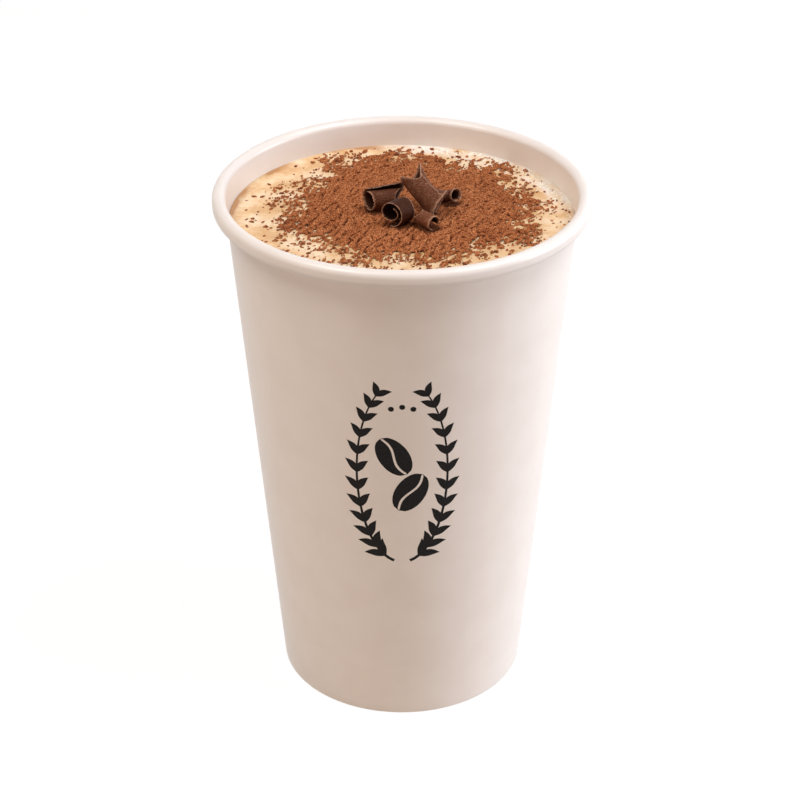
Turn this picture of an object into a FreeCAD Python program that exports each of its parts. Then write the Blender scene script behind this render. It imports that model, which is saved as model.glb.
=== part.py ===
import FreeCAD, Part
import math
import os

os.makedirs("parts", exist_ok=True)

# Paper cup: overall sizes, sheet thicknesses and the rolled rim. Millimetres.
cup_height = 132.0
rim_radius = 45.0
foot_radius = 30.75
wall_t = 0.35
roll_w = 3.3
roll_h = 4.2
roll_tuck = 1.0
roll_tail = 0.6
foot_land = 0.08
hem_height = 7.0
seam_width = 8.0
seam_step = 0.2
seam_azimuth = 115.0
seam_end_gap = 1.5

# Bottom disc, turned down into the fold at the foot.
disc_t = 0.35
disc_height = 9.0
disc_bend = 0.6
skirt_foot = 1.4
paper_clearance = 0.02

# Drink and the cocoa heap on it.
drink_level = 124.7
drink_clearance = 0.02
meniscus_rise = 0.35
meniscus_reach = 1.2
heap_x = 2.0
heap_y = 5.0
heap_margin = 11.7
heap_edge = 0.45
heap_crown = 0.85
heap_waves = ((3, 0.020, 40.0), (5, 0.035, 165.0), (9, 0.040, 320.0), (14, 0.020, 75.0))

# Chocolate curls.
shaving_t = 0.32
seat_clearance = 0.03


def strip(start, heading, moves, t):
    """Closed outline of a bent sheet of thickness t in the X-Z plane.

    The centre line starts at start with the heading in degrees; each move is
    ("line", length) or ("bend", radius, turn), a positive turn going left.
    """
    x, z = start
    left, right = [], []

    def at(px, pz, side, h):
        a = math.radians(h + 90)
        return FreeCAD.Vector(px + side * t / 2 * math.cos(a), 0, pz + side * t / 2 * math.sin(a))

    for move in moves:
        h = math.radians(heading)
        if move[0] == "line":
            nx, nz = x + move[1] * math.cos(h), z + move[1] * math.sin(h)
            for side, edges in ((1, left), (-1, right)):
                edges.append(Part.LineSegment(at(x, z, side, heading), at(nx, nz, side, heading)).toShape())
            x, z = nx, nz
            continue
        radius, turn = move[1], move[2]
        sign = 1 if turn > 0 else -1
        cx = x + radius * math.cos(h + sign * math.pi / 2)
        cz = z + radius * math.sin(h + sign * math.pi / 2)

        def swing(part):
            a = math.radians(heading + turn * part) - sign * math.pi / 2
            return cx + radius * math.cos(a), cz + radius * math.sin(a)

        for side, edges in ((1, left), (-1, right)):
            three = [at(*swing(part), side, heading + turn * part) for part in (0, 0.5, 1)]
            edges.append(Part.Arc(*three).toShape())
        x, z = swing(1)
        heading += turn
    first = Part.LineSegment(right[0].Vertexes[0].Point, left[0].Vertexes[0].Point).toShape()
    last = Part.LineSegment(left[-1].Vertexes[-1].Point, right[-1].Vertexes[-1].Point).toShape()
    return Part.Wire(Part.__sortEdges__([first] + left + [last] + right))


def turned(wire):
    return Part.Face(wire).revolve(FreeCAD.Vector(0, 0, 0), FreeCAD.Vector(0, 0, 1), 360)


# The wall's outer line runs from the foot to a tangent on the roll's circle.
roll_mid = (roll_w - wall_t) / 2
roll_x = rim_radius - roll_w / 2
roll_z = cup_height - roll_w / 2
run = math.hypot(roll_x - foot_radius, roll_z)
taper = math.atan2(roll_x - foot_radius, roll_z) - math.asin((roll_mid - wall_t / 2) / run)
wall_heading = 90 - math.degrees(taper)
up = (math.sin(taper), math.cos(taper))
inward = (-math.cos(taper), math.sin(taper))


def on_wall(depth, z):
    """Point at depth inside the outer line of the wall, at height z."""
    s = (z - depth * inward[1]) / up[1]
    return foot_radius + depth * inward[0] + s * up[0], z


fold_mid = (wall_t + disc_t) / 2 + paper_clearance
fold_z = fold_mid + wall_t / 2 - foot_land
fold_x = on_wall(wall_t / 2 + fold_mid, fold_z)[0]
hem_start = (fold_x + fold_mid * inward[0] + hem_height * up[0],
             fold_z + fold_mid * inward[1] + hem_height * up[1])
wall_start = (fold_x - fold_mid * inward[0], fold_z - fold_mid * inward[1])
wall_end = (roll_x + roll_mid * inward[0], roll_z + roll_mid * inward[1])
wall_run = math.dist(wall_start, wall_end)
wall_path = [("line", hem_height), ("bend", fold_mid, 180), ("line", wall_run),
             ("bend", roll_mid, -(90 + wall_heading)), ("line", roll_h - roll_w), ("bend", roll_mid, -90),
             ("bend", roll_tuck, -90), ("line", roll_tail)]
wall = turned(strip(hem_start, wall_heading - 180, wall_path, wall_t))
seam_bottom = fold_z + seam_end_gap
seam_top = cup_height - roll_h - seam_end_gap
seam_outline = [on_wall(depth, z) for depth, z in ((wall_t / 2, seam_bottom), (-seam_step, seam_bottom),
                                                   (-seam_step, seam_top), (wall_t / 2, seam_top))]
seam_face = Part.Face(Part.makePolygon([FreeCAD.Vector(x, 0, z) for x, z in seam_outline + seam_outline[:1]]))
seam_angle = math.degrees(seam_width / foot_radius)
seam_face.rotate(FreeCAD.Vector(0, 0, 0), FreeCAD.Vector(0, 0, 1), seam_azimuth - seam_angle / 2)
seam = seam_face.revolve(FreeCAD.Vector(0, 0, 0), FreeCAD.Vector(0, 0, 1), seam_angle)
under = Part.makeCylinder(rim_radius, fold_mid, FreeCAD.Vector(0, 0, -fold_mid))
wall.fuse(seam).cut(under).exportStep("parts/cup_wall.step")

# Bottom disc with its skirt inside the fold.
skirt_start = on_wall(wall_t / 2 + fold_mid, skirt_foot)
skirt_end = on_wall(wall_t / 2 + fold_mid, disc_height - disc_t / 2 - disc_bend)
bend_turn = 180 - wall_heading
skirt_run = math.dist(skirt_start, skirt_end)
disc_run = skirt_end[0] - disc_bend * math.cos(taper)
disc_path = [("line", skirt_run), ("bend", disc_bend, bend_turn), ("line", disc_run)]
disc_top = skirt_end[1] + disc_bend * (1 + math.sin(taper)) + disc_t / 2
turned(strip(skirt_start, wall_heading, disc_path, disc_t)).exportStep("parts/cup_base.step")

# The drink stands on the disc and climbs a little where it meets the wall.
drink_depth = wall_t + drink_clearance
drink_base = disc_top + drink_clearance
edge_x, edge_z = on_wall(drink_depth, drink_level + meniscus_rise)
foot_x = on_wall(drink_depth, drink_base)[0]
start = FreeCAD.Vector(edge_x - meniscus_reach, 0, drink_level)
curve = Part.BezierCurve()
curve.setPoles([start, start + FreeCAD.Vector(meniscus_reach * 0.7, 0, 0), FreeCAD.Vector(edge_x, 0, edge_z)])
corners = [FreeCAD.Vector(edge_x, 0, edge_z), FreeCAD.Vector(foot_x, 0, drink_base),
           FreeCAD.Vector(0, 0, drink_base), FreeCAD.Vector(0, 0, drink_level), start]
sides = [Part.LineSegment(p, q).toShape() for p, q in zip(corners, corners[1:])]
turned(Part.Wire([curve.toShape()] + sides)).exportStep("parts/latte.step")

# The cocoa heap: a wavy outline raised into a shallow dome.
heap_base = drink_level + drink_clearance
heap_radius = on_wall(drink_depth, drink_level)[0] - heap_margin
dome_radius = (heap_radius ** 2 + heap_crown ** 2) / (2 * heap_crown)
dome_z = heap_base + heap_edge + heap_crown - dome_radius


def heap_top(x, y):
    return dome_z + math.sqrt(dome_radius ** 2 - (x - heap_x) ** 2 - (y - heap_y) ** 2)


def heap_point(angle):
    wave = 1 + sum(size * math.cos(math.radians(count * angle + phase)) for count, size, phase in heap_waves)
    a = math.radians(angle)
    return FreeCAD.Vector(heap_x + heap_radius * wave * math.cos(a),
                          heap_y + heap_radius * wave * math.sin(a), heap_base)


heap_edge_curve = Part.BSplineCurve()
heap_edge_curve.interpolate([heap_point(5 * k) for k in range(72)], PeriodicFlag=True)
heap = Part.Face(Part.Wire(heap_edge_curve.toShape())).extrude(FreeCAD.Vector(0, 0, heap_edge + heap_crown))
dome = Part.makeSphere(dome_radius, FreeCAD.Vector(heap_x, heap_y, dome_z))
heap.common(dome).exportStep("parts/cocoa_dusting.step")


def bump(angle, centre, width):
    off = (angle - centre + 180) % 360 - 180
    return math.exp(-(off / width) ** 2)


def shaving(x, y, heading, pitch, length, inner, outer, start, turns, tips=(), bells=(), slant=0.0,
            lift=0.0, lift_from=0.7):
    """Rolled chocolate shaving as a thin solid, seated on the heap.

    Across the sheet, v runs from -1 to 1 along the roll's axis; along it, u
    runs from the inner end to the outer. The angle round the axis is start
    plus turns full circles times u, and the radius grows from inner to outer.
    Each tip (angle, width, reach, end) draws one end out along the axis where
    it passes that angle, and each bell spreads it outwards in the same way;
    slant cuts the low end askew and lift opens the outer flap at the high end.
    """
    h, p = math.radians(heading), math.radians(pitch)
    axis = FreeCAD.Vector(math.cos(h) * math.cos(p), math.sin(h) * math.cos(p), math.sin(p))
    side = FreeCAD.Vector(-math.sin(h), math.cos(h), 0)
    rise = axis.cross(side)

    def point(u, v, off):
        angle = start + 360 * turns * u
        along = v * length / 2
        if v < 0:
            along -= v * slant * math.cos(math.radians(angle))
        along += sum(end * reach * bump(angle, centre, width) * max(0.0, v * end)
                     for centre, width, reach, end in tips)
        opened = max(0.0, (u - lift_from) / (1 - lift_from)) ** 2 * (1 + v) / 2
        radius = inner + (outer - inner) * u + lift * opened + off
        radius += sum(spread * bump(angle, centre, width) * max(0.0, v * end) ** 2
                      for centre, width, spread, end in bells)
        a = math.radians(angle)
        return axis * along + side * (radius * math.cos(a)) + rise * (radius * math.sin(a))

    around = [k / 40 for k in range(41)]
    across = [k / 4 - 1 for k in range(9)]
    skins = []
    for off in (shaving_t / 2, -shaving_t / 2):
        skins.append([[point(u, v, off) for v in across] for u in around])
    drop = max(heap_top(x + q.x, y + q.y) - q.z for row in skins[0] + skins[1] for q in row)
    place = FreeCAD.Vector(x, y, drop + seat_clearance)
    faces, rims = [], []
    for rows in skins:
        rows = [[place + q for q in row] for row in rows]
        surface = Part.BSplineSurface()
        surface.interpolate(rows)
        faces.append(surface.toShape())
        rims.append([surface.uIso(0), surface.uIso(1), surface.vIso(0), surface.vIso(1)])
    for outer_rim, inner_rim in zip(*rims):
        faces.append(Part.makeRuledSurface(outer_rim.toShape(), inner_rim.toShape()))
    shell = Part.makeShell(faces)
    shell.sewShape()
    solid = Part.makeSolid(shell)
    if solid.Volume < 0:
        solid.reverse()
    return solid


curls = {
    "curl_tube": shaving(-4.35, 1.4, 16, -1, 7.8, 2.05, 2.8, -290, 1.05, slant=-0.7, lift=0.8,
                         tips=((30, 50, 1.9, 1), (160, 50, -1.6, 1))),
    "curl_spiral": shaving(-0.9, -6.8, 42, 0, 5.0, 1.2, 3.35, 110, 1.45, slant=-0.8),
    "curl_tall": shaving(5.2, -0.1, 133, 31, 11.2, 2.2, 2.9, -300, 1.1, slant=-0.9,
                         tips=((72, 46, -3.0, 1), (168, 38, 1.5, 1), (-5, 25, 0.7, 1), (150, 60, -1.2, -1)),
                         bells=((165, 45, 1.4, 1), (132, 55, 2.3, -1))),
    "curl_flared": shaving(10.9, 4.2, 150, -18, 5.2, 1.15, 1.3, -100, 0.95, slant=0.5,
                           bells=((90, 400, 0.35, -1),)),
    "curl_front": shaving(5.75, -8.15, -50, 0, 5.8, 1.4, 1.8, -30, 0.8, tips=((120, 50, -1.6, -1),)),
}
for name, solid in curls.items():
    solid.exportStep("parts/" + name + ".step")
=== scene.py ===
import math

import bpy
import numpy as np
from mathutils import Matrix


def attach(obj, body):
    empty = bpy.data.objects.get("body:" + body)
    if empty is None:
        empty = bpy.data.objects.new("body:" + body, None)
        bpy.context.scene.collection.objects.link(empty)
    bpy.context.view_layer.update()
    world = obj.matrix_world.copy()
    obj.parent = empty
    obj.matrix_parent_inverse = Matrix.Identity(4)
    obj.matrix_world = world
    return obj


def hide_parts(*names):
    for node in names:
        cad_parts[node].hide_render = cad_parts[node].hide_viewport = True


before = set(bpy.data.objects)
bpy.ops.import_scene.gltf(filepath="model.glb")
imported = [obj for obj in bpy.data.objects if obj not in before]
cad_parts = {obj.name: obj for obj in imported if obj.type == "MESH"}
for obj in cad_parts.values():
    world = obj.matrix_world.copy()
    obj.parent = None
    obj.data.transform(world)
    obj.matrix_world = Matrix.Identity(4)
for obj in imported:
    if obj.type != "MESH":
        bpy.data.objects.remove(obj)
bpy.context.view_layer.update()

# ---------------------------------------------------------------------------
# Side wall of the cup: one sheet of coated board wrapped into a cone, lapped
# and sealed at the back, its top edge rolled outwards into the rim and its
# foot folded up inside round the skirt of the bottom disc. Sizes in mm.
# ---------------------------------------------------------------------------
MM = 0.001
cup_height = 132.0
rim_radius = 45.0
foot_radius = 30.75
board = 0.35
roll_width = 3.3
roll_height = 4.2
tuck_radius = 1.0
tuck_tail = 0.6
foot_land = 0.08
hem_height = 7.0
fold_slack = 0.02
seam_at = math.radians(115.0)
seam_width = 8.0
seam_half = seam_width / 2 / foot_radius
seam_step = 0.2
seam_bevel = 0.0008

roll_mid = (roll_width - board) / 2
roll_x = rim_radius - roll_width / 2
roll_z = cup_height - roll_width / 2
taper = (math.atan2(roll_x - foot_radius, roll_z)
         - math.asin((roll_mid - board / 2) / math.hypot(roll_x - foot_radius, roll_z)))
up = np.array([math.sin(taper), math.cos(taper)])
inward = np.array([-math.cos(taper), math.sin(taper)])
wall_heading = 90 - math.degrees(taper)


def on_wall(depth, z):
    """Radius at height z of the line that lies depth inside the wall's outer face."""
    return foot_radius + depth * inward[0] + (z - depth * inward[1]) / up[1] * up[0]


def bent_sheet(start, heading, moves, line_step, arc_step):
    """Centre line of a bent sheet: points and left normals, in radius and height.

    A one-number move is a straight run of that length; a two-number move is a
    bend of that radius through that angle in degrees, left when positive.
    """
    at, points, normals = np.array(start, float), [], []
    for move in moves:
        if len(move) == 1:
            s = np.linspace(0, 1, max(2, math.ceil(move[0] / line_step)) + 1)[:, None]
            h = math.radians(heading)
            path = at + s * move[0] * np.array([math.cos(h), math.sin(h)])
            normal = np.repeat([[-math.sin(h), math.cos(h)]], len(s), axis=0)
        else:
            radius, turn = move
            sign = 1 if turn > 0 else -1
            count = max(2, math.ceil(abs(turn) / arc_step))
            h = np.radians(heading + np.linspace(0, turn, count + 1))
            normal = np.stack([-np.sin(h), np.cos(h)], 1)
            path = at + sign * radius * (normal[:1] - normal)
            heading += turn
        at = path[-1]
        points.append(path[:-1])
        normals.append(normal[:-1])
    points.append(path[-1:])
    normals.append(normal[-1:])
    return np.concatenate(points), np.concatenate(normals)


def grid_faces(rows, cols, close_rows=False, close_cols=False):
    """Quads of a rows by cols grid, joined end to end where a direction closes."""
    r = np.arange(rows if close_rows else rows - 1)[:, None]
    c = np.arange(cols if close_cols else cols - 1)[None, :]
    r2, c2 = (r + 1) % rows, (c + 1) % cols
    return np.stack([r * cols + c, r * cols + c2, r2 * cols + c2, r2 * cols + c], -1).reshape(-1, 4)


def make_piece(name, points, face_sets, finish, attributes=()):
    """Mesh object from points in mm and arrays of faces with equal corner counts."""
    mesh = bpy.data.meshes.new(name)
    points = np.asarray(points, float).reshape(-1, 3)
    mesh.vertices.add(len(points))
    mesh.vertices.foreach_set("co", (points * MM).ravel())
    corners = np.concatenate([f.ravel() for f in face_sets])
    sizes = np.concatenate([np.full(len(f), f.shape[1]) for f in face_sets])
    mesh.loops.add(len(corners))
    mesh.loops.foreach_set("vertex_index", corners.astype(np.int32))
    mesh.polygons.add(len(sizes))
    mesh.polygons.foreach_set("loop_start", (np.cumsum(sizes) - sizes).astype(np.int32))
    mesh.polygons.foreach_set("use_smooth", np.ones(len(sizes), bool))
    mesh.update(calc_edges=True)
    for key, values in attributes:
        mesh.attributes.new(key, "FLOAT", "POINT").data.foreach_set("value", np.ravel(values))
    mesh.materials.append(finish)
    piece = bpy.data.objects.new(name, mesh)
    bpy.context.scene.collection.objects.link(piece)
    return piece


def lattice(x, y, seed):
    """Smooth noise from -1 to 1: random values at whole numbers, blended between them."""
    table = np.random.default_rng(seed).uniform(-1, 1, (256, 256))
    xi, yi = np.floor(x).astype(int), np.floor(y).astype(int)
    fx, fy = x - xi, y - yi
    fx, fy = fx * fx * (3 - 2 * fx), fy * fy * (3 - 2 * fy)
    x0, x1, y0, y1 = xi % 256, (xi + 1) % 256, yi % 256, (yi + 1) % 256
    low = table[x0, y0] * (1 - fx) + table[x1, y0] * fx
    high = table[x0, y1] * (1 - fx) + table[x1, y1] * fx
    return low * (1 - fy) + high * fy


def layered(x, y, seed, layers):
    """Sum of lattices, each twice as fine and a little over half as strong as the last."""
    return sum(0.55 ** k * lattice(x * 2 ** k, y * 2 ** k, seed + k) for k in range(layers))


def ramp(value, low, high):
    """0 below low, 1 above high, with a smooth rise between."""
    t = np.clip((value - low) / (high - low), 0, 1)
    return t * t * (3 - 2 * t)


class Field:
    """A shader socket that adds a Math node when it is used in arithmetic."""

    def __init__(self, nodes, socket):
        self.nodes, self.socket = nodes, socket

    def math(self, operation, other):
        return self.nodes.node("Math", {"operation": operation}, sockets={0: self, 1: other})

    def __add__(self, other):
        return self.math("ADD", other)

    def __mul__(self, other):
        return self.math("MULTIPLY", other)

    __radd__ = __add__
    __rmul__ = __mul__


class Nodes:
    """A shader's node tree, with one way of making a node."""

    def __init__(self, tree):
        self.tree = tree

    def set(self, node, values):
        """Give a node's sockets their values or links; a key is a socket's number or its name."""
        for key, value in values.items():
            slot = node.inputs[key if isinstance(key, int) else key.replace("_", " ")]
            if isinstance(value, Field):
                self.tree.links.new(value.socket, slot)
            else:
                slot.default_value = (*value, 1.0) if slot.type == "RGBA" else value

    def node(self, kind, settings=None, stops=(), out=0, sockets=None, **named):
        """A node of this kind with its settings, a ramp's stops and its sockets, as a Field."""
        node = self.tree.nodes.new("ShaderNode" + kind)
        for key, value in (settings or {}).items():
            setattr(node, key, value)
        if stops:
            elements = node.color_ramp.elements
            while len(elements) < len(stops):
                elements.new(0.5)
            for element, (position, colour) in zip(elements, stops):
                element.position, element.color = position, (*colour, 1.0)
        self.set(node, {**(sockets or {}), **named})
        return Field(self, node.outputs[out]) if node.outputs else None


class Finish(Nodes):
    """A material with one Principled shader."""

    def __init__(self, name, **fixed):
        self.material = bpy.data.materials.new(name)
        self.material.use_nodes = True
        super().__init__(self.material.node_tree)
        self.shader = self.tree.nodes["Principled BSDF"]
        self.set(self.shader, fixed)

    def place(self, size, stretch=(1, 1, 1)):
        """Place on the piece, counted in features of the given size in mm."""
        return self.node("Mapping", Vector=self.node("TexCoord", out="Object"),
                         Scale=tuple(1000 / size * s for s in stretch))

    def grain(self, size, detail=2.0, stretch=(1, 1, 1), roughness=0.5):
        """Noise about 0.5 with features of the given size in mm."""
        return self.node("TexNoise", Vector=self.place(size, stretch), Scale=1.0, Detail=detail,
                         Roughness=roughness)

    def cell_walls(self, size):
        """Distance to the nearest wall between cells of the given size in mm."""
        return self.node("TexVoronoi", {"feature": "DISTANCE_TO_EDGE"}, Vector=self.place(size), Scale=1.0)

    def stretch(self, value, low, high):
        """Value taken from low..high to 0..1, smoothly and clamped."""
        return self.node("MapRange", {"interpolation_type": "SMOOTHSTEP"}, Value=value,
                         From_Min=low, From_Max=high)

    def tones(self, value, *stops):
        """Colour that runs through the stops as the value rises."""
        return self.node("ValToRGB", stops=stops, Fac=value)

    def blend(self, mask, first, second):
        """First colour where the mask is 0, second where it is 1."""
        return self.node("Mix", {"data_type": "RGBA"}, out=2, sockets={0: mask, 6: first, 7: second})

    def bump(self, height, depth, strength=1.0):
        """Relief of the given depth in mm."""
        return self.node("Bump", Height=height, Distance=depth * MM, Strength=strength)

    def attribute(self, name):
        """Value that the mesh carries under this name."""
        return self.node("Attribute", {"attribute_name": name}, out="Fac")

    def done(self, **varied):
        """The material, with what varies over the surface linked in."""
        self.set(self.shader, varied)
        return self.material


# Coated board: warm white with faint pulp clouds, a satin surface and a soft
# fibre relief, with painted shade that makes it a little greyer under the rim.
board_dim, board_light, board_painted_shade = (0.845, 0.80, 0.755), (0.87, 0.83, 0.79), (0.445, 0.435, 0.47)
paper = Finish("cup_paper", Roughness=0.34, Specular_IOR_Level=0.7)
clouds = paper.grain(9.0, 3.0)
fibres = paper.grain(0.35, 3.0, stretch=(1, 1, 0.35))
paper_colour = paper.blend(paper.stretch(clouds, 0.3, 0.7), board_dim, board_light)
# painted shade under the rim
paper_colour = paper.blend(paper.attribute("shade"), paper_colour, board_painted_shade)
cup_paper = paper.done(Base_Color=paper_colour, Normal=paper.bump(fibres + clouds * 2.0, 0.012))

fold_mid = board + fold_slack
fold_z = fold_mid + board / 2 - foot_land
fold_at = np.array([on_wall(board / 2 + fold_mid, fold_z), fold_z])
wall_foot = fold_at - fold_mid * inward
wall_top = np.array([roll_x, roll_z]) + roll_mid * inward
wall_moves = [(hem_height,), (fold_mid, 180), (float(np.linalg.norm(wall_top - wall_foot)),),
              (roll_mid, -(90 + wall_heading)), (roll_height - roll_width,), (roll_mid, -90),
              (tuck_radius, -90), (tuck_tail,)]
wall_line, wall_normal = bent_sheet(fold_at + fold_mid * inward + hem_height * up, wall_heading - 180,
                                    wall_moves, line_step=3.0, arc_step=12)
half = board / 2
wall_outline = np.concatenate([wall_line + half * wall_normal, (wall_line - half * wall_normal)[::-1]])
wall_outward = np.concatenate([wall_normal, -wall_normal[::-1]])


def cup_sway(angle, height):
    """How far the soft cup is out of round: two and three lobes that grow with height."""
    share = height / cup_height
    return 0.12 * share * np.cos(2 * angle + 0.7) + 0.05 * share ** 2 * np.cos(3 * angle + 2.0)


def turned_outline(outline, outward, angles, lap):
    """Outline carried round the axis; lap lifts it along its own normal over the seam."""
    angle = angles[:, None]
    over = ramp(seam_half - np.abs(angle - seam_at), -seam_bevel, seam_bevel)
    r = outline[None, :, 0] + outward[None, :, 0] * lap * over * seam_step
    z = outline[None, :, 1] + outward[None, :, 1] * lap * over * seam_step
    r = r + cup_sway(angle, z)
    return np.stack([r * np.cos(angle), r * np.sin(angle), np.maximum(z, 0.0)], -1)


wall_columns = 360
seam_edges = [seam_at + side * seam_half + off for side in (-1, 1) for off in (-0.001, 0.0, 0.001)]
even_angles = np.linspace(0, 2 * math.pi, wall_columns, endpoint=False)
wall_angles = np.unique(np.concatenate([even_angles, seam_edges]))

# The lap shows on the outer face, and fades out at the fold and under the roll.
roll_foot = cup_height - roll_height
wall_z = wall_outline[:, 1]
outside = np.concatenate([np.zeros(len(wall_line)), np.ones(len(wall_line))])
below_roll = 1 - ramp(wall_z, roll_foot - 2.2, roll_foot - 0.7)
clear_of_fold = ramp(wall_z, fold_z, fold_z + 1.5)
lap = outside * clear_of_fold * below_roll
wall_points = turned_outline(wall_outline, wall_outward, wall_angles, lap)

# Painted shade under the roll and on the wall just below it, alike all the way round.
roll_shade, wall_shade, shade_reach = 0.30, 0.12, 16.0
facing = np.degrees(np.arctan2(wall_outward[:, 1], wall_outward[:, 0]))
on_roll = (wall_z > roll_foot - 0.1) & (wall_outline[:, 0] > roll_x - 0.8)
under_roll = on_roll * ramp(-facing, -10, 40) * (np.abs(facing) < 100)
below_rim = outside * (1 - on_roll) * (facing < 20) * ramp(wall_z, cup_height - shade_reach, roll_foot)
shade = np.tile(roll_shade * under_roll + wall_shade * below_rim, (len(wall_angles), 1))
wall = make_piece("paper_wall", wall_points,
                  [grid_faces(len(wall_angles), len(wall_outline), True, True)], cup_paper,
                  [("shade", shade)])
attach(wall, "root")
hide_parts("cup_wall")

# ---------------------------------------------------------------------------
# Bottom disc: a round of the same board pressed into the cone from above,
# its edge turned down into a skirt that the folded foot grips.
# ---------------------------------------------------------------------------
disc_height = 9.0
disc_bend = 0.6
skirt_foot = 1.4
disc_pole = 0.4
disc_columns = 240

skirt_depth = board / 2 + fold_mid
skirt_low = np.array([on_wall(skirt_depth, skirt_foot), skirt_foot])
bend_z = disc_height - board / 2 - disc_bend
skirt_high = np.array([on_wall(skirt_depth, bend_z), bend_z])
disc_run = skirt_high[0] - disc_bend * math.cos(taper)
disc_top = skirt_high[1] + disc_bend * (1 + math.sin(taper)) + board / 2
disc_line, disc_normal = bent_sheet(skirt_low, wall_heading,
                                    [(float(np.linalg.norm(skirt_high - skirt_low)),),
                                     (disc_bend, 180 - wall_heading), (disc_run - disc_pole,)],
                                    line_step=1.5, arc_step=12)


def turned_solid(outline, angles, lift=None):
    """Closed solid of revolution from an outline whose two ends lie near the axis.

    Each end is closed by a fan of triangles to a point on the axis, and lift
    raises every point by a height worked out from its place.
    """
    r, z = outline[:, 0][None, :], outline[:, 1][None, :]
    angle = angles[:, None]
    points = np.stack([r * np.cos(angle), r * np.sin(angle), np.repeat(z, len(angles), axis=0)], -1)
    if lift is not None:
        points[..., 2] += lift(points[..., 0], points[..., 1], points[..., 2])
    rows, cols = points.shape[:2]
    middle = np.array([[0, 0, points[:, end, 2].mean()] for end in (0, -1)])
    points = np.concatenate([points.reshape(-1, 3), middle])
    k = np.arange(rows)
    k2 = (k + 1) % rows
    first = np.stack([np.full(rows, rows * cols), k * cols, k2 * cols], 1)
    last = np.stack([np.full(rows, rows * cols + 1), k2 * cols + cols - 1, k * cols + cols - 1], 1)
    return points, [faces[:, ::-1] for faces in (grid_faces(rows, cols, True), first, last)]


disc_outline = np.concatenate([disc_line + half * disc_normal, (disc_line - half * disc_normal)[::-1]])
disc_outline = np.roll(disc_outline, len(disc_line), axis=0)[::-1]
disc_angles = np.linspace(0, 2 * math.pi, disc_columns, endpoint=False)
disc_points, disc_faces = turned_solid(disc_outline, disc_angles)
disc = make_piece("paper_bottom", disc_points, disc_faces, cup_paper)
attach(disc, "root")
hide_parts("cup_base")

# ---------------------------------------------------------------------------
# The drink: milky coffee up to a few millimetres below the rim under a skin
# of fine foam, which climbs a little at the wall and is darker along it,
# partly brown and partly painted shade.
# ---------------------------------------------------------------------------
drink_level = 124.7
drink_overlap = 0.08
meniscus_rise = 0.35
meniscus_reach = 1.4
drink_gap = 0.02
drink_pole = 0.3
drink_columns = 400

drink_edge = on_wall(board - drink_overlap, drink_level)
foam_rings = np.concatenate([np.linspace(drink_pole, drink_edge - 2.0, 90),
                             np.linspace(drink_edge - 1.8, drink_edge, 14)])
surface = np.stack([foam_rings, np.full(len(foam_rings), drink_level)], 1)
side_z = np.linspace(drink_level, disc_top + drink_gap, 14)[1:]
side = np.stack([on_wall(board + drink_gap, side_z), side_z], 1)
bottom_r = np.linspace(side[-1, 0], drink_pole, 8)[1:]
bottom = np.stack([bottom_r, np.full(len(bottom_r), side_z[-1])], 1)
drink_outline = np.concatenate([surface, side, bottom])


def foam_height(x, y):
    """Foam above the drink's level: a slow roll, fine dimples and the climb at the wall."""
    r = np.hypot(x, y)
    climb = meniscus_rise * ramp(r, drink_edge - meniscus_reach, drink_edge) ** 1.5
    roll = 0.10 * layered(x / 9.0 + 40, y / 9.0 + 40, 11, 3)
    dimples = 0.035 * layered(x / 0.9 + 80, y / 0.9 + 80, 21, 2)
    return (roll + dimples) * (1 - ramp(r, drink_edge - 0.8, drink_edge)) + climb


def foam_lift(x, y, z):
    """The foam's height for points on the drink's surface, none for those below it."""
    return np.where(z > drink_level - 0.01, foam_height(x, y), 0.0)


foam_brown, foam_tan, foam_cream = (0.70, 0.42, 0.185), (0.82, 0.56, 0.30), (0.92, 0.73, 0.50)
# the edge colour serves both the brown patches and the painted shade along the wall
foam_brown_and_shade, foam_froth = (0.50, 0.235, 0.085), (0.96, 0.88, 0.77)
foam = Finish("latte_foam", Roughness=0.38, Specular_IOR_Level=0.5, Subsurface_Weight=0.15,
              Subsurface_Scale=0.002, Subsurface_Radius=(1.0, 0.6, 0.3))
foam_clouds = foam.grain(7.0, 4.0)
foam_bits = foam.grain(1.1, 3.0)
foam_tone = foam.tones(foam.stretch(foam_clouds * 0.75 + foam_bits * 0.25, 0.33, 0.66),
                       (0.0, foam_brown), (0.45, foam_tan), (1.0, foam_cream))
froth = foam.attribute("froth")
foam_colour = foam.blend(foam.attribute("brown_and_shade"), foam_tone, foam_brown_and_shade)
foam_colour = foam.blend(froth, foam_colour, foam_froth)
foam_relief = foam.stretch(foam.cell_walls(0.55), 0.0, 0.35) * froth + foam_bits * 0.5
latte_foam = foam.done(Base_Color=foam_colour, Normal=foam.bump(foam_relief, 0.12, 0.8))

# Painted shade darkens the foam in a thin line all round the wall; wider brown
# patches lie along it, most of all at the back left, and it is white with froth
# at the back right.
drink_angles = np.linspace(0, 2 * math.pi, drink_columns, endpoint=False)
drink_points, drink_faces = turned_solid(drink_outline, drink_angles, foam_lift)
px, py = drink_points[:, 0], drink_points[:, 1]
pr, pa = np.hypot(px, py), np.arctan2(py, px)
blotch = layered(pa * 5 + 20, pr / 3.0, 31, 3)
back_left = 0.35 + 0.65 * ramp(np.cos(pa - math.radians(140)), -0.4, 0.7)
back_right = ramp(np.cos(pa - math.radians(48)), 0.55, 0.95)
edge_brown_and_shade = ramp(pr, drink_edge - 2.6, drink_edge - 0.3) ** 1.6 * (back_left * (0.30 + 1.2 * blotch))
# a thin line of painted shade all round where the foam meets the wall
edge_brown_and_shade = np.clip(edge_brown_and_shade + 0.6 * ramp(pr, drink_edge - 1.3, drink_edge - 0.4), 0, 0.9)
edge_froth = np.clip(ramp(pr, drink_edge - 6.5, drink_edge - 2.0) * back_right * (0.7 + blotch), 0, 1)
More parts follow.
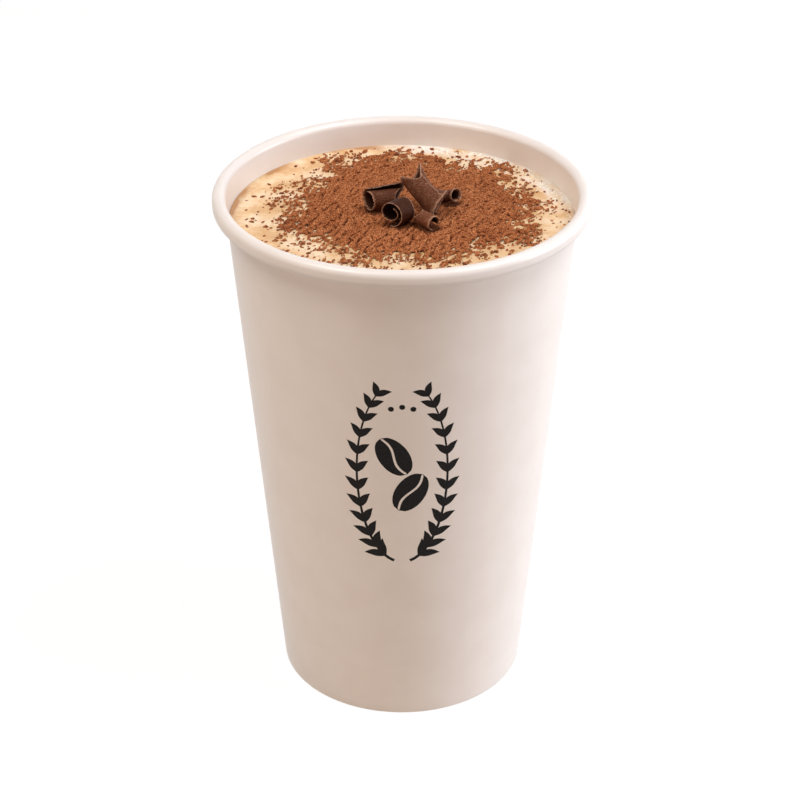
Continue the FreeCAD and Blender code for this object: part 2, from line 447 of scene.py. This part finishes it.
# the drink's outline runs the other way round from the disc's, so its faces are turned
drink = make_piece("latte_drink", drink_points, [faces[:, ::-1] for faces in drink_faces], latte_foam,
                   [("brown_and_shade", edge_brown_and_shade * (1 - edge_froth)), ("froth", edge_froth)])
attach(drink, "root")
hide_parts("latte")

# ---------------------------------------------------------------------------
# Cocoa: powder shaken over the foam, a low heap in the middle with short
# drifts in it, breaking up at its edge into islands, crumbs and dust.
# ---------------------------------------------------------------------------
heap_x, heap_y, heap_margin = 2.0, 5.0, 11.7
heap_radius = on_wall(board + fold_slack, drink_level) - heap_margin
heap_edge, heap_crown = 0.45, 0.85
heap_waves = ((3, 0.020, 40.0), (5, 0.035, 165.0), (9, 0.040, 320.0), (14, 0.020, 75.0))
cocoa_step = 0.225
heap_half = 41.0
powder_least, powder_sunk = 0.05, -0.12


def heap_reach(x, y):
    """Distance from the heap's middle as a share of its wavy outline, a circle with cosines added."""
    dx, dy = x - heap_x, y - heap_y
    a = np.degrees(np.arctan2(dy, dx))
    wave = 1 + sum(size * np.cos(np.radians(count * a + phase)) for count, size, phase in heap_waves)
    return np.hypot(dx, dy) / (heap_radius * wave)


def drifts(x, y, along, across, seed, layers):
    """Noise stretched along the way the powder was shaken.

    That way is 60 degrees from the right at the middle, and 0.45 degrees less
    for each mm to the right.
    """
    turn = np.radians(60 - 0.45 * np.clip(x, -30, 30))
    s = x * np.cos(turn) + y * np.sin(turn)
    t = -x * np.sin(turn) + y * np.cos(turn)
    return layered(s / along + 50, t / across + 50, seed, layers)


def cocoa_cover(x, y):
    """Above 0 where powder hides the foam: it falls with reach, torn by noise towards the edge."""
    q = heap_reach(x, y)
    lobes = 0.7 * layered(x / 6.5 + 70, y / 6.5 + 70, 43, 2)
    torn = 1.5 * drifts(x, y, 2.0, 1.0, 41, 2) + 1.0 * drifts(x, y, 0.9, 0.6, 47, 2)
    return 7.0 * (0.985 - q) + (lobes + torn) * ramp(q, 0.45, 1.0)


def cocoa_thickness(x, y):
    """Powder over the foam: the heap's dome, drifts in it and single grains."""
    cover = cocoa_cover(x, y)
    q = heap_reach(x, y)
    dome = heap_edge + heap_crown * np.clip(1 - q * q, 0, 1)
    body = dome * (0.45 * ramp(cover, 0.0, 0.9) + 0.55 * ramp(cover, 0.5, 3.0))
    ridges = (0.17 * drifts(x, y, 1.5, 0.6, 51, 2) + 0.13 * layered(x / 0.46, y / 0.46, 57, 1)
              + 0.30 * drifts(x, y, 4.2, 1.3, 59, 2))
    return body + 0.16 * ramp(cover, 0.0, 0.35) + ridges * (0.35 + 0.65 * ramp(cover, 0.3, 1.6)), cover


steps = int(2 * heap_half / cocoa_step)
heap_axis = np.linspace(-heap_half, heap_half, steps)
gx, gy = np.meshgrid(heap_axis, heap_axis, indexing="ij")
grain_rng = np.random.default_rng(61)
gx = gx + grain_rng.uniform(-0.3, 0.3, gx.shape) * cocoa_step
gy = gy + grain_rng.uniform(-0.3, 0.3, gy.shape) * cocoa_step
thickness, cover = cocoa_thickness(gx, gy)
thickness = thickness + grain_rng.uniform(-0.17, 0.17, gx.shape) * ramp(cover, 0.0, 0.6)
inside = (cover > -0.12) & (np.hypot(gx, gy) < drink_edge - 0.6)
thickness = np.where(cover > 0, np.maximum(thickness, powder_least), powder_sunk)


def soften(values, times):
    """Each value averaged with its four neighbours, the given number of times."""
    for _ in range(times):
        values = (values * 2 + np.roll(values, 1, 0) + np.roll(values, -1, 0)
                  + np.roll(values, 1, 1) + np.roll(values, -1, 1)) / 6
    return values


# Painted shade: the powder is darker where it lies below the ground about it, in the hollows between its
# drifts.
hollow = np.clip((soften(thickness, 9) - soften(thickness, 1)) / 0.17, -1, 1)
heap_grid = np.stack([gx, gy, drink_level + foam_height(gx, gy) + thickness], -1).reshape(-1, 3)
quads = grid_faces(steps, steps)
quads = quads[inside.ravel()[quads].all(1)]
used, renumbered = np.unique(quads, return_inverse=True)
heap_faces = renumbered.reshape(quads.shape)[:, ::-1]

cocoa_dark, cocoa_mid, cocoa_light = (0.155, 0.038, 0.011), (0.38, 0.115, 0.037), (0.80, 0.36, 0.155)
cocoa_hollow_shade, cocoa_curl_shadow = (0.080, 0.019, 0.006), (0.045, 0.010, 0.003)
powder = Finish("cocoa_powder", Roughness=0.9, Specular_IOR_Level=0.15)
specks = powder.grain(0.26, 2.0, roughness=0.75)
patches = powder.grain(3.0, 3.0)
powder_tone = powder.tones(powder.stretch(specks * 0.95 + patches * 0.15, 0.36, 0.76),
                           (0.0, cocoa_dark), (0.5, cocoa_mid), (1.0, cocoa_light))
# painted shade in the hollows of the powder
in_hollow_shade = powder.stretch(powder.attribute("hollow"), -0.1, 0.75)
powder_colour = powder.blend(in_hollow_shade, powder_tone, cocoa_hollow_shade)
# painted shadow under the curls
powder_colour = powder.blend(powder.attribute("curl_shadow"), powder_colour, cocoa_curl_shadow)
cocoa_powder = powder.done(Base_Color=powder_colour, Normal=powder.bump(specks, 0.14, 0.8))
heap = make_piece("cocoa_heap", heap_grid[used], [heap_faces], cocoa_powder,
                  [("hollow", hollow.ravel()[used]), ("curl_shadow", np.zeros(len(used)))])
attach(heap, "root")
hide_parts("cocoa_dusting")

# ---------------------------------------------------------------------------
# Loose powder past the heap: crumbs of clumped cocoa round its edge and dark
# specks thinning out towards the wall, each a small rough grain on the foam.
# ---------------------------------------------------------------------------
def icosahedron():
    """Twelve corners and twenty outward triangles of a unit icosahedron.

    Five corners stand in a ring above the middle and five in one below it,
    turned by half a step, with a corner at each pole.
    """
    ring_z, ring_r = 0.447, 0.894
    ring = np.arange(5) * 2 * math.pi / 5
    half_on = ring + math.pi / 5
    top = np.stack([ring_r * np.cos(ring), ring_r * np.sin(ring), np.full(5, ring_z)], 1)
    low = np.stack([ring_r * np.cos(half_on), ring_r * np.sin(half_on), np.full(5, -ring_z)], 1)
    corners = np.concatenate([[[0, 0, 1]], top, low, [[0, 0, -1]]])
    k, n = np.arange(5), (np.arange(5) + 1) % 5
    faces = np.concatenate([np.stack([0 * k, 1 + k, 1 + n], 1), np.stack([1 + k, 6 + k, 1 + n], 1),
                            np.stack([1 + n, 6 + k, 6 + n], 1), np.stack([0 * k + 11, 6 + n, 6 + k], 1)])
    return corners, faces


def scattered(centres, sizes, seed, squash, rough=0.28):
    """Rough grains at the centres, each a stretched, turned and dented icosahedron."""
    rng = np.random.default_rng(seed)
    corners, faces = icosahedron()
    n = len(centres)
    spin = rng.normal(math.radians(50), 0.7, n)
    shape = corners[None] * rng.uniform(1 - rough, 1 + rough, (n, 12, 1))
    widths = np.stack([rng.uniform(0.8, 1.6, n), rng.uniform(0.5, 0.95, n), squash * np.ones(n)], 1)
    shape = shape * widths[:, None]
    c, s = np.cos(spin)[:, None], np.sin(spin)[:, None]
    turned = np.stack([shape[..., 0] * c - shape[..., 1] * s, shape[..., 0] * s + shape[..., 1] * c,
                       shape[..., 2]], -1)
    points = centres[:, None] + turned * sizes[:, None, None] / 2
    numbers = faces[None] + len(corners) * np.arange(n)[:, None, None]
    return points.reshape(-1, 3), numbers.reshape(-1, 3)


def on_foam(x, y):
    """Height of the foam's surface above the table."""
    return drink_level + foam_height(x, y)


speck_rng = np.random.default_rng(71)


def thrown(count, low, high, keep):
    """Random places in a ring about the heap's middle, kept by a chance from 0 to 1."""
    a = speck_rng.uniform(0, 2 * math.pi, count)
    d = np.sqrt(speck_rng.uniform(low ** 2, high ** 2, count))
    x, y = heap_x + d * np.cos(a), heap_y + d * np.sin(a)
    held = speck_rng.uniform(0, 1, count) < keep(x, y)
    held &= np.hypot(x, y) < drink_edge - 0.9
    return x[held], y[held]


def clumping(x, y):
    """Noise from 0 to 1, near 1 where loose grains lie thick."""
    return ramp(layered(x / 3.1 + 30, y / 3.1 + 30, 73, 3), -0.35, 0.55)


def near_heap(x, y):
    """Chance of a crumb: it fades exponentially from the heap's outline, and is less on the powder."""
    q = heap_reach(x, y)
    fade = np.where(q > 1, np.exp(-(q - 1) / 0.085), np.exp(-(1 - q) / 0.2))
    return fade * (0.25 + 0.9 * clumping(x, y)) * (0.25 + 0.75 * (cocoa_cover(x, y) < 0))


def far_out(x, y):
    """Chance of a speck: it fades exponentially out from the heap, and is greatest in front."""
    q = heap_reach(x, y)
    front = 0.45 + 0.55 * ramp(-(y - heap_y), -12, 18)
    return np.exp(-np.maximum(q - 1.0, 0) / 0.16) * (0.12 + clumping(x, y) ** 1.4) * front * (q > 0.94)


crumb_x, crumb_y = thrown(9000, 17, 40, near_heap)
speck_x, speck_y = thrown(3600, 22, 44, far_out)
crumb_size = 0.40 + 1.15 * speck_rng.beta(1.2, 3.6, len(crumb_x))
speck_size = 0.50 + 1.7 * speck_rng.beta(1.1, 4.4, len(speck_x))
under_crumb, crumb_cover = cocoa_thickness(crumb_x, crumb_y)
crumb_z = on_foam(crumb_x, crumb_y) + np.where(crumb_cover > 0.1, under_crumb, 0) + 0.10 * crumb_size
speck_z = on_foam(speck_x, speck_y) + 0.06 * speck_size
crumbs = Finish("cocoa_crumbs", Roughness=0.85, Specular_IOR_Level=0.2)
crumb_tone = crumbs.tones(crumbs.grain(1.3, 2.0, roughness=0.6), (0.34, (0.13, 0.035, 0.011)),
                          (0.5, (0.30, 0.090, 0.029)), (0.66, (0.46, 0.155, 0.055)))
cocoa_crumbs = crumbs.done(Base_Color=crumb_tone, Normal=crumbs.bump(crumbs.grain(0.15), 0.06))
for piece_name, x, y, z, sizes, seed, squash in (
        ("cocoa_crumbs", crumb_x, crumb_y, crumb_z, crumb_size, 81, 0.62),
        ("cocoa_specks", speck_x, speck_y, speck_z, speck_size, 82, 0.40)):
    grain_points, grain_faces = scattered(np.stack([x, y, z], 1), sizes, seed, squash)
    grains = make_piece(piece_name, grain_points, [grain_faces], cocoa_crumbs)
    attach(grains, "root")

# ---------------------------------------------------------------------------
# Froth: small bubbles of milk foam crowded along the wall, and a few larger
# ones that rose beside the cocoa.
# ---------------------------------------------------------------------------
bubble_count = 420
bubble_sunk = 0.03
bubble_rng = np.random.default_rng(91)
bubble_angle = np.radians(bubble_rng.normal(42, 24, bubble_count))
bubble_depth = bubble_rng.gamma(1.6, 1.3, bubble_count)
bubble_r = drink_edge - 0.5 - bubble_depth
bubble_x, bubble_y = bubble_r * np.cos(bubble_angle), bubble_r * np.sin(bubble_angle)
bubble_size = 0.35 + 1.0 * bubble_rng.beta(1.2, 4.0, bubble_count)
bubble_size = np.minimum(bubble_size, 1.6 * (bubble_depth + 0.3))

# One bubble is a flattened dome: its height is 0.55 of a circle's, less what is sunk.
dome_rings, dome_columns = 4, 10
dome_r, dome_a = np.meshgrid(np.linspace(0.08, 1, dome_rings),
                             np.linspace(0, 2 * math.pi, dome_columns, endpoint=False), indexing="ij")
dome_z = 0.55 * np.sqrt(np.maximum(1.02 - dome_r ** 2, 0)) - 0.12
dome = np.stack([dome_r * np.cos(dome_a), dome_r * np.sin(dome_a), dome_z], -1).reshape(-1, 3)
dome_faces = grid_faces(dome_rings, dome_columns, False, True)[:, ::-1]
bubble_centres = np.stack([bubble_x, bubble_y, on_foam(bubble_x, bubble_y) - bubble_sunk], 1)
bubble_points = bubble_centres[:, None] + dome[None] * bubble_size[:, None, None] / 2
bubble_faces = dome_faces[None] + len(dome) * np.arange(bubble_count)[:, None, None]
froth_mix = Finish("froth_bubbles", Roughness=0.12, Specular_IOR_Level=0.6, Subsurface_Weight=0.1,
                   Subsurface_Scale=0.001)
froth_tone = froth_mix.tones(froth_mix.grain(1.5), (0.35, (0.86, 0.66, 0.45)), (0.65, (0.97, 0.88, 0.75)))
froth_bubbles = froth_mix.done(Base_Color=froth_tone, Normal=froth_mix.bump(froth_mix.grain(0.3), 0.03))
bubbles = make_piece("froth_bubbles", bubble_points, [bubble_faces.reshape(-1, 4)], froth_bubbles)
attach(bubbles, "root")

# ---------------------------------------------------------------------------
# Chocolate curls: shavings pared off a dark block, rolled up by the blade and
# laid on the cocoa; smooth and dull outside, torn and chalky along the edges.
# ---------------------------------------------------------------------------
shaving_t = 0.32
seat_clearance = 0.03
heap_gap = 0.02
ball_radius = (heap_radius ** 2 + heap_crown ** 2) / (2 * heap_crown)
ball_z = drink_level + heap_gap + heap_edge + heap_crown - ball_radius


def swell(angle, centre, width):
    """Bell curve about an angle in degrees, one at the centre."""
    off = (angle - centre + 180) % 360 - 180
    return np.exp(-(off / width) ** 2)


def curl_skin(u, v, off, heading, pitch, length, inner, outer, start, turns, tips=(), bells=(),
              slant=0.0, lift=0.0, lift_from=0.7):
    """Points of a rolled shaving about its own middle.

    Across the sheet, v runs from -1 to 1 along the roll's axis; along it, u
    runs from the inner end to the outer. The angle round the axis is start
    plus turns full circles times u, and the radius grows from inner to outer.
    Each tip draws one end out along the axis where it passes that angle, and
    each bell spreads it outwards; slant cuts the low end askew and lift opens
    the outer flap at the high end.
    """
    h, p = math.radians(heading), math.radians(pitch)
    axis = np.array([math.cos(h) * math.cos(p), math.sin(h) * math.cos(p), math.sin(p)])
    side = np.array([-math.sin(h), math.cos(h), 0.0])
    rise = np.cross(axis, side)
    angle = start + 360 * turns * u
    a = np.radians(angle)
    along = v * length / 2 - np.where(v < 0, v * slant * np.cos(a), 0)
    for centre, width, reach, end in tips:
        along = along + end * reach * swell(angle, centre, width) * np.maximum(0, v * end)
    opened = np.maximum(0, (u - lift_from) / (1 - lift_from)) ** 2 * (1 + v) / 2
    radius = inner + (outer - inner) * u + lift * opened + off
    for centre, width, spread, end in bells:
        radius = radius + spread * swell(angle, centre, width) * np.maximum(0, v * end) ** 2
    return (axis * along[..., None] + side * (radius * np.cos(a))[..., None]
            + rise * (radius * np.sin(a))[..., None])


def curl_piece(name, x, y, seed, dark, **shape):
    """A shaving with torn ends and a finely ribbed face, seated on the cocoa.

    It is raised by as much as the points of a coarse grid on it need to clear
    the ball that the heap's dome is cut from. Noise wears back its ends and
    its flap, and the sheet is thinnest along its edges.
    """
    coarse_u, coarse_v = np.meshgrid(np.linspace(0, 1, 41), np.linspace(-1, 1, 9), indexing="ij")
    rise = []
    for off in (shaving_t / 2, -shaving_t / 2):
        q = curl_skin(coarse_u, coarse_v, off, **shape)
        aside = (x + q[..., 0] - heap_x) ** 2 + (y + q[..., 1] - heap_y) ** 2
        rise.append((ball_z + np.sqrt(ball_radius ** 2 - aside) - q[..., 2]).max())
    seat = np.array([x, y, max(rise) + seat_clearance])
    rows, cols = 150, 44
    u, v = np.meshgrid(np.linspace(0, 1, rows), np.linspace(-1, 1, cols), indexing="ij")
    torn_end = 0.035 * layered(u * 26 + seed, u * 0 + 3.3, seed + 5, 3)
    torn_flap = 0.012 * layered(v * 7 + seed, v * 0 + 7.7, seed + 9, 3)
    v_torn = v * (1 - np.abs(torn_end) * ramp(np.abs(v), 0.6, 1.0) * 2.0)
    u_torn = u - torn_flap * ramp(u, 0.9, 1.0) + torn_flap[:, ::-1] * (1 - ramp(u, 0.0, 0.1))
    ribs = 0.02 * lattice(v * 4 + seed, u * 9.0, seed + 2) + 0.012 * lattice(v * 9 + seed, u * 30, seed + 3)
    ripple = 0.03 * lattice(u * 16 + seed, v * 1.5 + 5, seed + 4)
    edge_thin = 1 - 0.55 * np.maximum(ramp(np.abs(v), 0.80, 1.0), ramp(np.abs(2 * u - 1), 0.95, 1.0))
    skins = []
    for sign in (1, -1):
        off = sign * shaving_t / 2 * edge_thin + (ribs + ripple) * (0.6 + 0.4 * sign)
        skins.append(curl_skin(u_torn, v_torn, off, **shape))
    points = np.concatenate([skin.reshape(-1, 3) for skin in skins]) + seat
    n = rows * cols
    skin = grid_faces(rows, cols)
    r, c = np.arange(rows), np.arange(cols)
    loop = np.concatenate([r[:-1] * cols, (rows - 1) * cols + c[:-1], r[:0:-1] * cols + cols - 1, c[:0:-1]])
    after = np.roll(loop, -1)
    rim = np.stack([loop, after, after + n, loop + n], 1)
    # the pale edge and the painted shade within are measured in the roll's outer radius
    outer = shape["outer"]
    edge = np.maximum(ramp(np.abs(v), 1 - 0.5 / outer, 1.0), ramp(np.abs(2 * u - 1), 0.97, 1.0))
    depth = (1 - np.abs(v)) * outer / 2
    # painted shade: the inner face darkens away from the roll's open ends
    painted_inner_shade = np.concatenate([np.zeros(n), 0.94 * ramp(depth, -0.9, 0.8).ravel()])
    looks = [("edge", np.tile(edge.ravel(), 2)), ("painted_inner_shade", painted_inner_shade), ("dark", np.full(2 * n, dark))]
    return make_piece(name, points, [skin[:, ::-1], skin + n, rim[:, ::-1]], dark_chocolate, looks)


chocolate_brown = (0.125, 0.040, 0.017)
chocolate_dusty = (0.245, 0.100, 0.056)
chocolate_chalky = (0.50, 0.27, 0.185)
chocolate_dark = (0.026, 0.007, 0.003)
chocolate_inner_shade = (0.012, 0.004, 0.002)
chocolate_edge = (0.46, 0.26, 0.17)
chocolate = Finish("dark_chocolate", Specular_IOR_Level=0.05)
streaks = chocolate.grain(0.32, 3.0, roughness=0.6)
bloom = chocolate.grain(1.4, 3.0)
chocolate_tone = chocolate.tones(chocolate.stretch(streaks * 0.75 + bloom * 0.25, 0.34, 0.78),
                                 (0.0, chocolate_brown), (0.55, chocolate_dusty), (1.0, chocolate_chalky))
# each curl's tone taken down, partly its own tone and partly painted shade
chocolate_tone = chocolate.blend(chocolate.attribute("dark"), chocolate_tone, chocolate_dark)
# painted shade inside the roll, which also makes it rougher
inner_shade_mask = chocolate.attribute("painted_inner_shade")
chocolate_tone = chocolate.blend(inner_shade_mask, chocolate_tone, chocolate_inner_shade)
chalk = chocolate.attribute("edge") * chocolate.stretch(streaks, 0.3, 0.55)
chocolate_colour = chocolate.blend(chalk, chocolate_tone, chocolate_edge)
dark_chocolate = chocolate.done(Base_Color=chocolate_colour, Roughness=0.45 + inner_shade_mask * 0.5,
                                Normal=chocolate.bump(streaks + chocolate.grain(0.12) * 0.5, 0.08))

# Places and sizes in mm, turns in circles and other angles in degrees. A tip or
# bell is its angle, width, reach and end; dark is how far the tone is taken down,
# partly each curl's own tone and partly painted shade.
curls = {
    "curl_tube": dict(
        x=-4.35, y=1.4, heading=16, pitch=-1, length=7.8, inner=2.05, outer=2.8, start=-290, turns=1.05,
        slant=-0.7, lift=0.8, tips=((30, 50, 1.9, 1), (160, 50, -1.6, 1)), dark=0.50),
    "curl_spiral": dict(
        x=-0.9, y=-6.8, heading=42, pitch=0, length=5.0, inner=1.2, outer=3.35, start=110, turns=1.45,
        slant=-0.8, dark=0.85),
    "curl_tall": dict(
        x=5.2, y=-0.1, heading=133, pitch=31, length=11.2, inner=2.2, outer=2.9, start=-300, turns=1.1,
        slant=-0.9, tips=((72, 46, -3.0, 1), (168, 38, 1.5, 1), (-5, 25, 0.7, 1), (150, 60, -1.2, -1)),
        bells=((165, 45, 1.4, 1), (132, 55, 2.3, -1)), dark=0.35),
    "curl_flared": dict(
        x=10.9, y=4.2, heading=150, pitch=-18, length=5.2, inner=1.15, outer=1.3, start=-100, turns=0.95,
        slant=0.5, bells=((90, 400, 0.35, -1),), dark=0.60),
    "curl_front": dict(
        x=5.75, y=-8.15, heading=-50, pitch=0, length=5.8, inner=1.4, outer=1.8, start=-30, turns=0.8,
        tips=((120, 50, -1.6, -1),), dark=0.10),
}
curl_points = []
for number, (node, shape) in enumerate(curls.items()):
    curl = curl_piece(node.replace("curl", "shaving"), seed=100 + 10 * number, **shape)
    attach(curl, "root")
    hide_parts(node)
    places = np.empty(3 * len(curl.data.vertices))
    curl.data.vertices.foreach_get("co", places)
    curl_points.append(places.reshape(-1, 3) / MM)

# Painted shadow on the powder where the curls lie low over it: their low
# points are counted on the heap's grid, the lowest most, and softened.
low = np.concatenate(curl_points)
low = low[low[:, 2] < drink_level + 4.0]
weight = np.exp(-(low[:, 2] - drink_level - 1.0) / 1.1)
edges = np.linspace(-heap_half, heap_half, steps + 1)
shadow_under_curls, _, _ = np.histogram2d(low[:, 0], low[:, 1], bins=(edges, edges), weights=weight)
shadow_under_curls = np.clip(soften(shadow_under_curls, 14) / 1.6, 0, 0.8)
heap.data.attributes["curl_shadow"].data.foreach_set("value", shadow_under_curls.ravel()[used])

# ---------------------------------------------------------------------------
# Print on the front: one black ink on the board, a plain wreath of leaves
# round two coffee beans, lying on the cone as a thin film.
# ---------------------------------------------------------------------------
print_lift = 0.015
print_z = 75.5
wreath_x, wreath_y = 10.9, 26.5
stem_from, stem_to = -80, 58
leaf_pairs = 12
leaf_swing = 38
ink = Finish("black_ink", Roughness=0.6, Specular_IOR_Level=0.12)
ink_wear = ink.grain(0.5, 3.0)
ink_tone = ink.tones(ink_wear, (0.35, (0.006, 0.005, 0.005)), (0.7, (0.014, 0.012, 0.011)))
black_ink = ink.done(Base_Color=ink_tone, Normal=ink.bump(ink_wear, 0.01))


def on_cone(across, height):
    """Point on the wall's outer face, from the distance round the cup and the height."""
    r = foot_radius + height / up[1] * up[0]
    angle = across / r - math.pi / 2
    r = r + cup_sway(angle, height) + print_lift
    return np.stack([r * np.cos(angle), r * np.sin(angle), height], -1)


def ribbon(line, widths, count=2):
    """Flat strip of the given widths along a line, count points across: points and quads."""
    line = np.asarray(line, float)
    ahead = np.gradient(line, axis=0)
    ahead /= np.linalg.norm(ahead, axis=1)[:, None]
    normal = np.stack([-ahead[:, 1], ahead[:, 0]], 1)
    t = np.linspace(-0.5, 0.5, count)
    flat = line[:, None] + normal[:, None] * (np.asarray(widths)[:, None, None] * t[None, :, None])
    return flat.reshape(-1, 2), grid_faces(len(line), count)


def leaf(base, heading, length, width, bend):
    """Pointed leaf: a strip as wide as a sine of the way along it, bowed to one side by another."""
    s = np.linspace(0, 1, 12)
    h = math.radians(heading)
    ahead, left = np.array([math.cos(h), math.sin(h)]), np.array([-math.sin(h), math.cos(h)])
    bow = bend * length * np.sin(math.pi * s)
    line = np.array(base) + s[:, None] * length * ahead + bow[:, None] * left
    return ribbon(line, np.maximum(width * np.sin(math.pi * s ** 0.85), 0.05), 4)


def dot(centre, radius):
    """Round dot: a strip as wide as the radius, bent round half-way out."""
    a = np.linspace(0, 2 * math.pi, 49)
    line = np.stack([centre[0] + radius / 2 * np.cos(a), centre[1] + radius / 2 * np.sin(a)], 1)
    return ribbon(line, np.full(len(a), radius))


def bean(centre, turn, long, wide, gap=0.6):
    """Coffee bean: two halves of an ellipse with a clear crease, one wave of a sine, between them."""
    s = np.linspace(-1, 1, 25)
    crease = 0.10 * wide * np.sin(math.pi * s)
    edge = wide / 2 * np.sqrt(np.maximum(1 - s ** 2, 0))
    c, t = math.cos(turn), math.sin(turn)
    halves = []
    for sign in (1, -1):
        near = sign * np.minimum(sign * crease + gap / 2, edge)
        x = near[:, None] + (sign * edge - near)[:, None] * np.linspace(0, 1, 5)
        y = np.repeat((s * long / 2)[:, None], 5, axis=1)
        flat = np.stack([centre[0] + x * c - y * t, centre[1] + x * t + y * c], -1).reshape(-1, 2)
        halves.append((flat, grid_faces(25, 5)))
    return halves


marks = bean((-2.0, 4.8), 0.55, 12.0, 7.4) + bean((2.0, -5.6), -0.50, 12.0, 7.4)
for side in (1, -1):
    stem_a = np.radians(np.linspace(stem_from, stem_to, 40))
    stem = np.stack([side * wreath_x * np.cos(stem_a), wreath_y * np.sin(stem_a)], 1)
    marks.append(ribbon(stem, np.linspace(0.8, 0.35, len(stem))))
    for share in np.linspace(0.08, 0.98, leaf_pairs):
        a = math.radians(stem_from + (stem_to - stem_from) * share)
        foot = (side * wreath_x * math.cos(a), wreath_y * math.sin(a))
        along = math.degrees(math.atan2(wreath_y * math.cos(a), -side * wreath_x * math.sin(a)))
        leaf_length, leaf_width = 5.4 - 1.3 * share, 2.1 - 0.4 * share
        for way in (1, -1):
            marks.append(leaf(foot, along + way * leaf_swing, leaf_length, leaf_width, -0.10 * way))
for step in (-1, 0, 1):
    marks.append(dot((2.6 * step, 19.0 - 0.6 * abs(step)), 0.7))

# Each face is turned outwards by its area, half the cross product of its
# diagonals, and those with no area at pointed ends are left out.
ink_points, ink_faces, ink_count = [], [], 0
for flat, faces in marks:
    corners = flat[faces]
    across, athwart = corners[:, 2] - corners[:, 0], corners[:, 3] - corners[:, 1]
    area = (across[:, 0] * athwart[:, 1] - across[:, 1] * athwart[:, 0]) / 2
    faces = np.where((area > 0)[:, None], faces, faces[:, ::-1])[np.abs(area) > 0.00005]
    ink_points.append(flat)
    ink_faces.append(faces + ink_count)
    ink_count += len(flat)
flat = np.concatenate(ink_points)
printed = make_piece("printed_wreath", on_cone(flat[:, 0], print_z + flat[:, 1]),
                     [np.concatenate(ink_faces)], black_ink)
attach(printed, "root")

# ---------------------------------------------------------------------------
# Stage: a white floor, two soft lights from the right, two from the left and a
# dim warm surround.
# ---------------------------------------------------------------------------
def seen_as(nodes, seen, lighting):
    """Shader that looks one way to the camera and in reflections, and another to the lighting."""
    camera_ray, glossy_ray, clear_ray = (nodes.node("LightPath", out="Is " + ray + " Ray")
                                         for ray in ("Camera", "Glossy", "Transmission"))
    direct = camera_ray.math("MAXIMUM", glossy_ray).math("MAXIMUM", clear_ray)
    return nodes.node("MixShader", sockets={0: direct, 1: lighting, 2: seen})


floor_mesh = bpy.data.meshes.new("floor")
floor_mesh.from_pydata([(-3, -3, 0), (3, -3, 0), (3, 3, 0), (-3, 3, 0)], [], [(0, 1, 2, 3)])
floor = bpy.data.objects.new("floor", floor_mesh)
bpy.context.scene.collection.objects.link(floor)
floor_finish = bpy.data.materials.new("floor")
floor_finish.use_nodes = True
floor_finish.node_tree.nodes.clear()
floor_nodes = Nodes(floor_finish.node_tree)
matte = floor_nodes.node("BsdfDiffuse", Color=(0.12, 0.12, 0.12))
glow = floor_nodes.node("Emission", Color=(1, 1, 1), Strength=0.93)
white = floor_nodes.node("AddShader", sockets={0: matte, 1: glow})
dull = floor_nodes.node("BsdfDiffuse", Color=(0.62, 0.53, 0.45))
floor_nodes.node("OutputMaterial", Surface=seen_as(floor_nodes, white, dull))
floor_mesh.materials.append(floor_finish)

world = bpy.data.worlds.new("surround")
bpy.context.scene.world = world
world.use_nodes = True
world.node_tree.nodes.clear()
world_nodes = Nodes(world.node_tree)
backdrop = world_nodes.node("Background", Color=(1, 1, 1), Strength=1.0)
surround = world_nodes.node("Background", Color=(1.0, 0.65, 0.46), Strength=0.18)
world_nodes.node("OutputWorld", Surface=seen_as(world_nodes, backdrop, surround))

lamp_distance = 1.0
lamp_aim = np.array([0, 0, 0.07])


def lamp(name, azimuth, elevation, size, watts, colour):
    """Square area light aimed at the cup; azimuth is measured from the front towards the right."""
    a, e = math.radians(azimuth), math.radians(elevation)
    away = np.array([math.sin(a) * math.cos(e), -math.cos(a) * math.cos(e), math.sin(e)])
    light = bpy.data.lights.new(name, "AREA")
    light.shape, light.size, light.energy, light.color = "SQUARE", size, watts, colour
    holder = bpy.data.objects.new(name, light)
    holder.location = lamp_aim + away * lamp_distance
    holder.rotation_euler = (math.radians(90) - e, 0, a)
    bpy.context.scene.collection.objects.link(holder)


lamp("key", 76, 62, 0.4, 4.6, (0.90, 0.91, 0.97))
lamp("side", 91, 9, 0.5, 7.8, (0.84, 0.88, 0.97))
lamp("top", -60, 64, 0.4, 4.4, (1.0, 0.97, 0.94))
lamp("fill", -50, 20, 0.5, 1.5, (1.0, 0.80, 0.65))

camera = bpy.data.cameras.new("camera")
camera.lens, camera.sensor_width = 104.87, 36.0
viewer = bpy.data.objects.new("camera", camera)
viewer.location = (-0.0005, -0.50392, 0.36482)
viewer.rotation_euler = (math.radians(60.013), 0, 0)
bpy.context.scene.collection.objects.link(viewer)
bpy.context.scene.camera = viewer
bpy.context.scene.view_settings.view_transform = "Standard"
